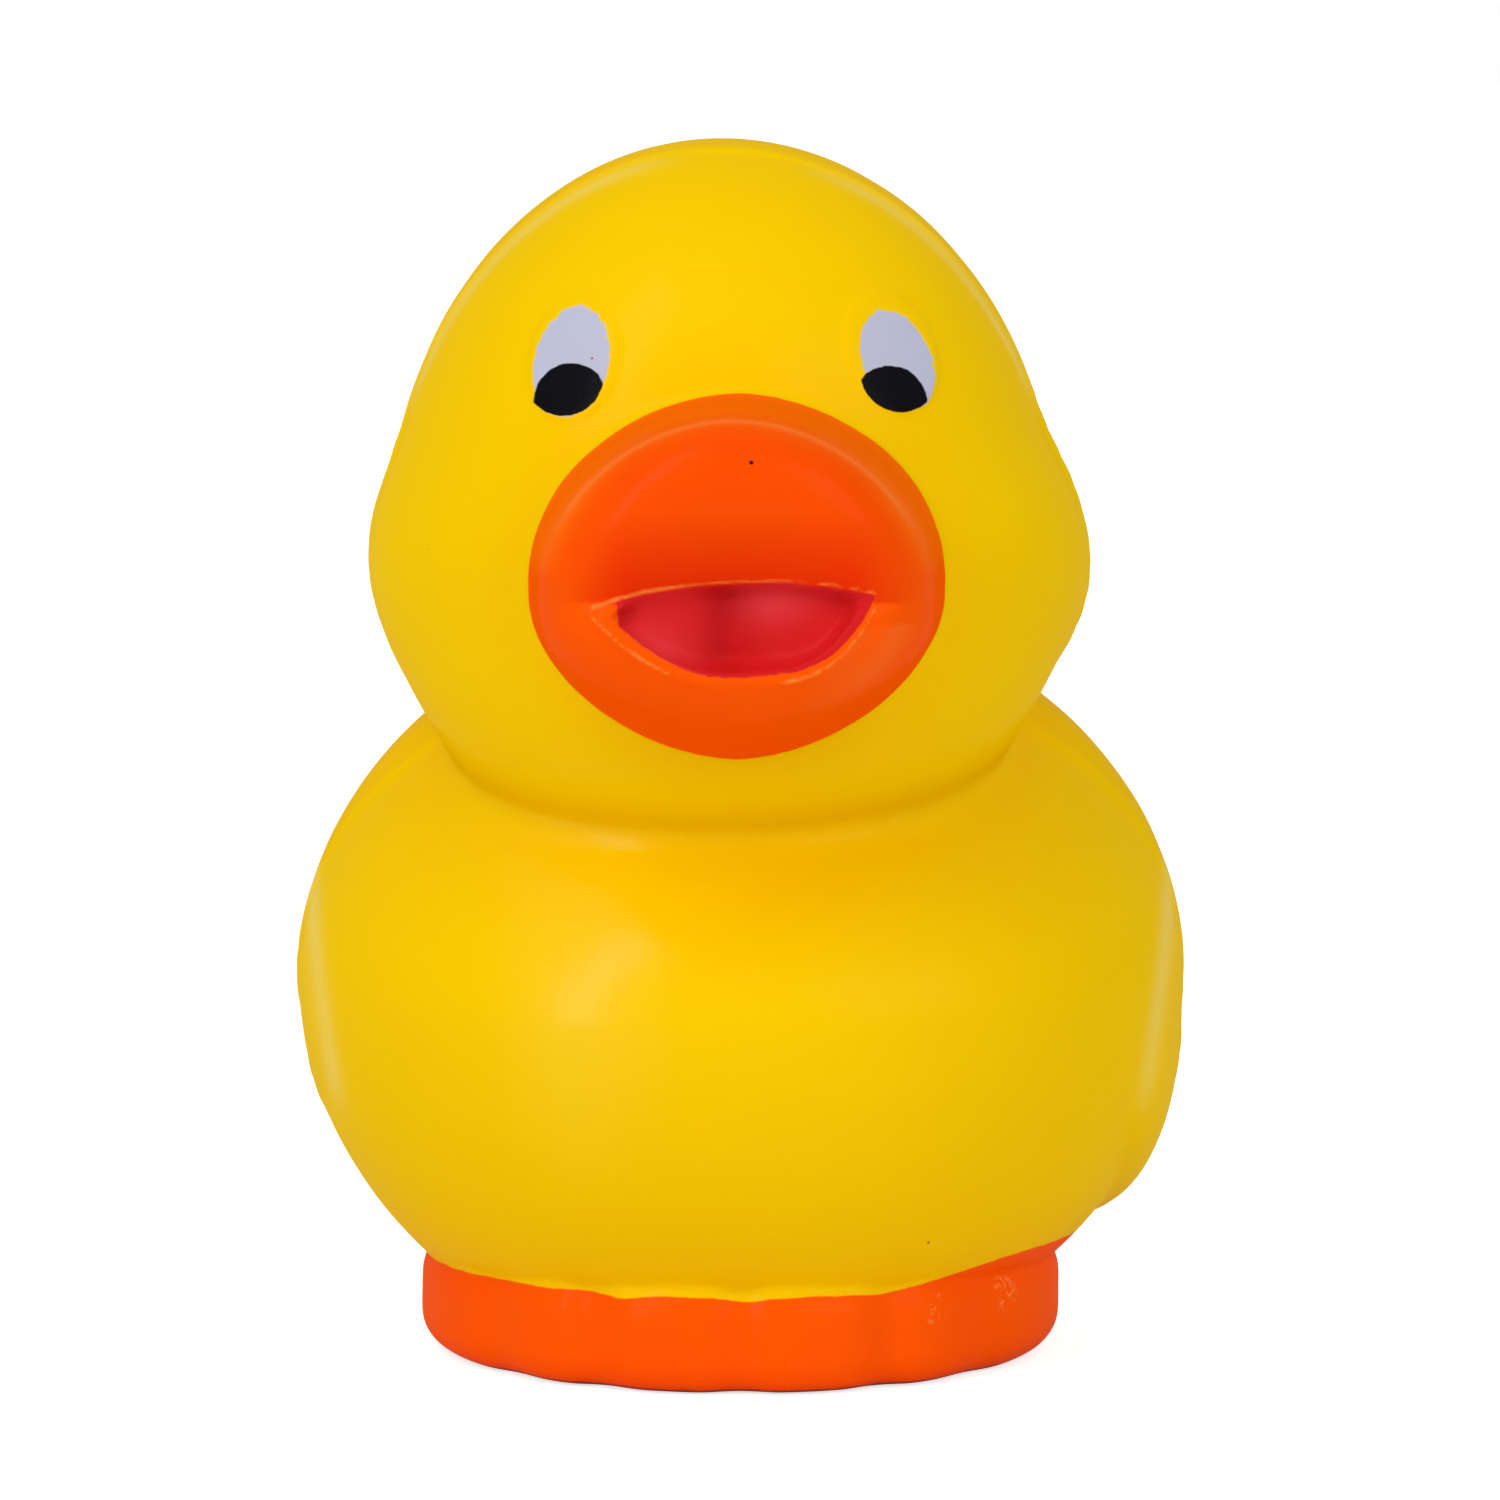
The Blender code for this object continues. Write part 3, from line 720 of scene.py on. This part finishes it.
def paintEdgeGroup():
    # a coat of paint: how much it covers, and the line where it ends
    group, given, result = newGroup(
        "paintEdge",
        [("Vector", "Vector"), ("Distance", "Float"), ("Wobble", "Float"), ("Scale", "Float"), ("Blur", "Float")],
        [("Cover", "Float"), ("Line", "Float")])
    wave = node(group, "TexNoise", {"Vector": given.outputs["Vector"], "Scale": given.outputs["Scale"],
                                    "Detail": 3.0, "Roughness": 0.6})
    swing = maths(group, "MULTIPLY", maths(group, "SUBTRACT", wave.outputs["Fac"], 0.5), given.outputs["Wobble"])
    moved = maths(group, "ADD", given.outputs["Distance"], swing)
    ratio = maths(group, "DIVIDE", moved, given.outputs["Blur"])
    cover = maths(group, "ADD", ratio, 0.5, clamp=True)
    line = maths(group, "SUBTRACT", 1.0, maths(group, "ABSOLUTE", maths(group, "MULTIPLY", ratio, 0.4)), clamp=True)
    group.links.new(cover, result.inputs["Cover"])
    group.links.new(line, result.inputs["Line"])
    return group


def foamSkinGroup():
    # the pebbled skin that foam takes in its mould, and its slow changes of tone
    group, given, result = newGroup("foamSkin", [("Vector", "Vector"), ("Pebble Scale", "Float")],
                                    [("Height", "Float"), ("Tone", "Float")])
    pebbles = node(group, "TexVoronoi", {"Vector": given.outputs["Vector"], "Scale": given.outputs["Pebble Scale"],
                                         "Smoothness": 0.8}, feature="SMOOTH_F1")
    fine = node(group, "TexNoise", {"Vector": given.outputs["Vector"], "Scale": 5200.0, "Detail": 2.0})
    slow = node(group, "TexNoise", {"Vector": given.outputs["Vector"], "Scale": 55.0, "Detail": 3.0})
    height = maths(group, "ADD", maths(group, "MULTIPLY", pebbles.outputs["Distance"], 0.7),
                   maths(group, "MULTIPLY", fine.outputs["Fac"], 0.3))
    group.links.new(height, result.inputs["Height"])
    group.links.new(slow.outputs["Fac"], result.inputs["Tone"])
    return group


def spotGroup():
    # one small round mark at a place on the skin
    group, given, result = newGroup("spot", [("Vector", "Vector"), ("Place", "Vector"), ("Size", "Float")],
                                    [("Mark", "Float")])
    far = node(group, "VectorMath", {0: given.outputs["Vector"], 1: given.outputs["Place"]}, operation="DISTANCE")
    ratio = maths(group, "DIVIDE", far.outputs["Value"], given.outputs["Size"])
    mark = maths(group, "MULTIPLY", maths(group, "SUBTRACT", 1.0, ratio), 2.5, clamp=True)
    group.links.new(mark, result.inputs["Mark"])
    return group


def placed(tree, group, inputs):
    made = node(tree, "Group", node_tree=group)
    for key, value in inputs.items():
        if isinstance(value, bpy.types.NodeSocket):
            tree.links.new(value, made.inputs[key])
        else:
            made.inputs[key].default_value = value
    return made


def duckSkinMaterial(duck, look=skinLook):
    material = bpy.data.materials.new("duckSkin")
    material.use_nodes = True
    tree = material.node_tree
    shader = tree.nodes["Principled BSDF"]
    here = node(tree, "TexCoord").outputs["Object"]
    edgeOf, foamOf, spotOf = paintEdgeGroup(), foamSkinGroup(), spotGroup()
    foam = placed(tree, foamOf, {"Vector": here, "Pebble Scale": 2300.0})

    def field(name):
        return node(tree, "Attribute", attribute_name=name).outputs["Fac"]

    def coat(name, wobble, scale, blur):
        return placed(tree, edgeOf, {"Vector": here, "Distance": field(name), "Wobble": wobble,
                                     "Scale": scale, "Blur": blur})

    def spots(places):
        total = None
        for x, z, size in places:
            inputs = {"Vector": here, "Place": onFront(duck, x, z), "Size": size}
            mark = placed(tree, spotOf, inputs).outputs["Mark"]
            total = mark if total is None else maths(tree, "MAXIMUM", total, mark)
        return total

    feet = coat("feetEdge", 0.00025, 700.0, 0.00012)
    bill = coat("billEdge", 0.00020, 900.0, 0.00012)
    soleShadowLine = coat("soleShadowEdge", 0.00030, 700.0, 0.00030)
    mouth = coat("mouthEdge", 0.00030, 1300.0, 0.00014)
    lipEdgeHighlight = coat("lipEdgeHighlight", 0.00022, 650.0, 0.00022)
    white = coat("whiteEdge", 0.00050, 1300.0, 0.00008)
    pupil = coat("pupilEdge", 0.00018, 1500.0, 0.00008)

    colour = mixColours(tree, foam.outputs["Tone"], linear(look["yellowWarm"]), linear(look["yellow"]))
    orange = mixColours(tree, foam.outputs["Tone"], linear(look["orangeDeep"]), linear(look["orange"]))
    rub = node(tree, "TexNoise", {"Vector": here, "Scale": 1500.0, "Detail": 4.0, "Distortion": 1.5})
    rubbed = maths(tree, "MULTIPLY", maths(tree, "SUBTRACT", rub.outputs["Fac"], 0.52), 5.0, clamp=True)
    scuffed = maths(tree, "MULTIPLY", spots(look["scuffs"]), rubbed)
    orange = mixColours(tree, scuffed, orange, linear(look["scuff"]))
    red = mixColours(tree, foam.outputs["Tone"], linear(look["red"]), linear(look["redPale"]))
    # painted sheen: pinkish red on the tongue lobes
    red = mixColours(tree, maths(tree, "MULTIPLY", field("lobeSheen"), 0.22), red, linear(look["redSheen"]))
    # painted shade: deeper red in the crease between the tongue lobes
    red = mixColours(tree, maths(tree, "MULTIPLY", field("lobeCreaseShade"), 0.5), red, linear(look["redCreaseShade"]))
    glossAndPaintedSheen = field("glossAndPaintedSheen")
    paintedCreaseShade = field("creaseShade")
    # painted shade: darker yellow over the rear half behind the seam
    colour = mixColours(tree, maths(tree, "MULTIPLY", field("rearPaintedShade"), 0.5), colour, linear(look["yellowRearShade"]))
    # painted reflection: pale yellow along the glossy lines
    colour = mixColours(tree, maths(tree, "MULTIPLY", glossAndPaintedSheen, 0.34), colour, linear(look["yellowPaintedSheen"]))
    # painted shade: deeper yellow in the crease under the chin
    colour = mixColours(tree, paintedCreaseShade, colour, linear(look["yellowCreaseShade"]))
    colour = mixColours(tree, feet.outputs["Cover"], colour, orange)
    # painted contact shadow: dark red band along the bottom of the sole
    colour = mixColours(tree, soleShadowLine.outputs["Cover"], colour, linear(look["soleShadow"]))
    # painted light: lighter orange on the bill's top
    billOrange = mixColours(tree, field("billTopLight"), orange, linear(look["orangeLitTop"]))
    # painted shade: deeper orange on the upper lip's face
    billOrange = mixColours(tree, field("lipShade"), billOrange, linear(look["orangeLipShade"]))
    # painted highlight along the bill's crest
    crestHighlightShare = maths(tree, "MULTIPLY", field("paintedCrestHighlight"), 0.45)
    billOrange = mixColours(tree, crestHighlightShare, billOrange, linear(look["orangeHighlight"]))
    colour = mixColours(tree, bill.outputs["Cover"], colour, billOrange)
    # painted highlight: thin paler orange line along the lip edges
    colour = mixColours(tree, lipEdgeHighlight.outputs["Cover"], colour, linear(look["orangeHighlight"]))
    colour = mixColours(tree, mouth.outputs["Cover"], colour, red)
    colour = mixColours(tree, white.outputs["Cover"], colour, linear(look["white"]))
    colour = mixColours(tree, pupil.outputs["Cover"], colour, linear(look["black"]))
    colour = mixColours(tree, spots(look["specks"]), colour, linear(look["speck"]))
    # painted shadow: a black dot where a pinhole's dark hollow would be
    colour = mixColours(tree, spots([look["pinholeShadow"]]), colour, linear(look["black"]))
    tree.links.new(colour, shader.inputs["Base Color"])

    rough = maths(tree, "ADD", look["roughness"] - 0.04, maths(tree, "MULTIPLY", foam.outputs["Tone"], 0.08))
    rough = maths(tree, "ADD", rough, maths(tree, "MULTIPLY", scuffed, 0.2))
    rough = maths(tree, "ADD", rough, maths(tree, "MULTIPLY", bill.outputs["Cover"], look["paintRoughness"]))
    tree.links.new(rough, shader.inputs["Roughness"])
    shader.inputs["Specular IOR Level"].default_value = look["specular"]
    shader.inputs["Coat Roughness"].default_value = look["coatRoughness"]
    gloss = maths(tree, "ADD", look["coat"], maths(tree, "MULTIPLY", glossAndPaintedSheen, look["polishCoat"]))
    gloss = maths(tree, "ADD", gloss, maths(tree, "MULTIPLY", field("glossy"), look["chestCoat"]))
    tree.links.new(gloss, shader.inputs["Coat Weight"])
    grain = node(tree, "Bump", {"Strength": 0.20, "Distance": 0.00008, "Height": foam.outputs["Height"]})
    tree.links.new(grain.outputs["Normal"], shader.inputs["Normal"])
    tree.links.new(grain.outputs["Normal"], shader.inputs["Coat Normal"])
    return material


duck = joinDuck()
duck.name = "duckBody"
addRelief(duck)
thinFaces(duck)
paintFields(duck)
duck.data.name = "duckBody"
duck.data.transform(Matrix.Translation((0.0, -duckForm["midY"], 0.0)))
duck.data.shade_smooth()
duck.data.materials.clear()
duck.data.materials.append(duckSkinMaterial(duck))
print("duck painted")

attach(duck, "root")
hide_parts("duck")

# the white sweep it stands on, lamps and camera
studio = {
    "floorHalf": 3.0,
    "floorTone": 0.88,
    "floorGlow": 0.69,
    "worldGlow": 0.515,
    "lamps": (
        # name, across and up in degrees round the duck, distance, width, height, watts
        ("keyLamp", -41.0, 32.0, 0.80, 0.14, 1.00, 2.8),
        ("fillLamp", 40.0, 25.0, 0.90, 0.50, 0.60, 2.0),
        ("topLamp", 0.0, 72.0, 0.80, 0.60, 0.60, 0.15),
    ),
    "lens": 210.0,
    "distance": 0.6,
    "elevation": math.radians(6.0),
    "aim": (0.00065, 0.0, 0.04096),
}


def whiteForEyes(tree, seen, glow):
    # white to the camera and in gloss and glass, dimmer as a lamp
    path = node(tree, "LightPath")
    direct = maths(tree, "MAXIMUM", path.outputs["Is Camera Ray"], path.outputs["Is Transmission Ray"])
    direct = maths(tree, "MAXIMUM", direct, path.outputs["Is Glossy Ray"])
    return maths(tree, "ADD", glow, maths(tree, "MULTIPLY", direct, seen - glow))


def buildStudio(s=studio):
    bm = bmesh.new()
    bmesh.ops.create_grid(bm, x_segments=1, y_segments=1, size=s["floorHalf"])
    floor = pieceFrom(bm, "floor")
    material = bpy.data.materials.new("whiteSweep")
    material.use_nodes = True
    tree = material.node_tree
    shader = tree.nodes["Principled BSDF"]
    tone = s["floorTone"]
    shader.inputs["Base Color"].default_value = (tone, tone, tone, 1.0)
    shader.inputs["Roughness"].default_value = 0.9
    shader.inputs["Specular IOR Level"].default_value = 0.1
    shader.inputs["Emission Color"].default_value = (1.0, 1.0, 1.0, 1.0)
    tree.links.new(whiteForEyes(tree, s["floorGlow"], 0.0), shader.inputs["Emission Strength"])
    floor.data.materials.append(material)

    world = bpy.data.worlds.new("studio")
    bpy.context.scene.world = world
    world.use_nodes = True
    background = world.node_tree.nodes["Background"]
    background.inputs["Color"].default_value = (1.0, 1.0, 1.0, 1.0)
    world.node_tree.links.new(whiteForEyes(world.node_tree, 1.0, s["worldGlow"]), background.inputs["Strength"])

    middle = Vector(s["aim"])
    for name, across, up, far, width, height, watts in s["lamps"]:
        a, e = math.radians(across), math.radians(up)
        back = Vector((math.sin(a) * math.cos(e), -math.cos(a) * math.cos(e), math.sin(e)))
        light = bpy.data.lights.new(name, "AREA")
        light.shape = "RECTANGLE"
        light.size = width
        light.size_y = height
        light.energy = watts
        lamp = bpy.data.objects.new(name, light)
        lamp.location = middle + back * far
        lamp.rotation_euler = (-back).to_track_quat("-Z", "Y").to_euler()
        lamp.visible_camera = False
        bpy.context.scene.collection.objects.link(lamp)

    camera = bpy.data.cameras.new("camera")
    camera.lens = s["lens"]
    camera.sensor_width = 36.0
    camera.clip_start = 0.01
    camera.clip_end = 20.0
    seat = bpy.data.objects.new("camera", camera)
    back = Vector((0.0, -math.cos(s["elevation"]), math.sin(s["elevation"])))
    seat.location = middle + back * s["distance"]
    seat.rotation_euler = (-back).to_track_quat("-Z", "Y").to_euler()
    bpy.context.scene.collection.objects.link(seat)
    bpy.context.scene.camera = seat
    bpy.context.scene.view_settings.view_transform = "Standard"
    print("floor, lamps and camera placed")


buildStudio()
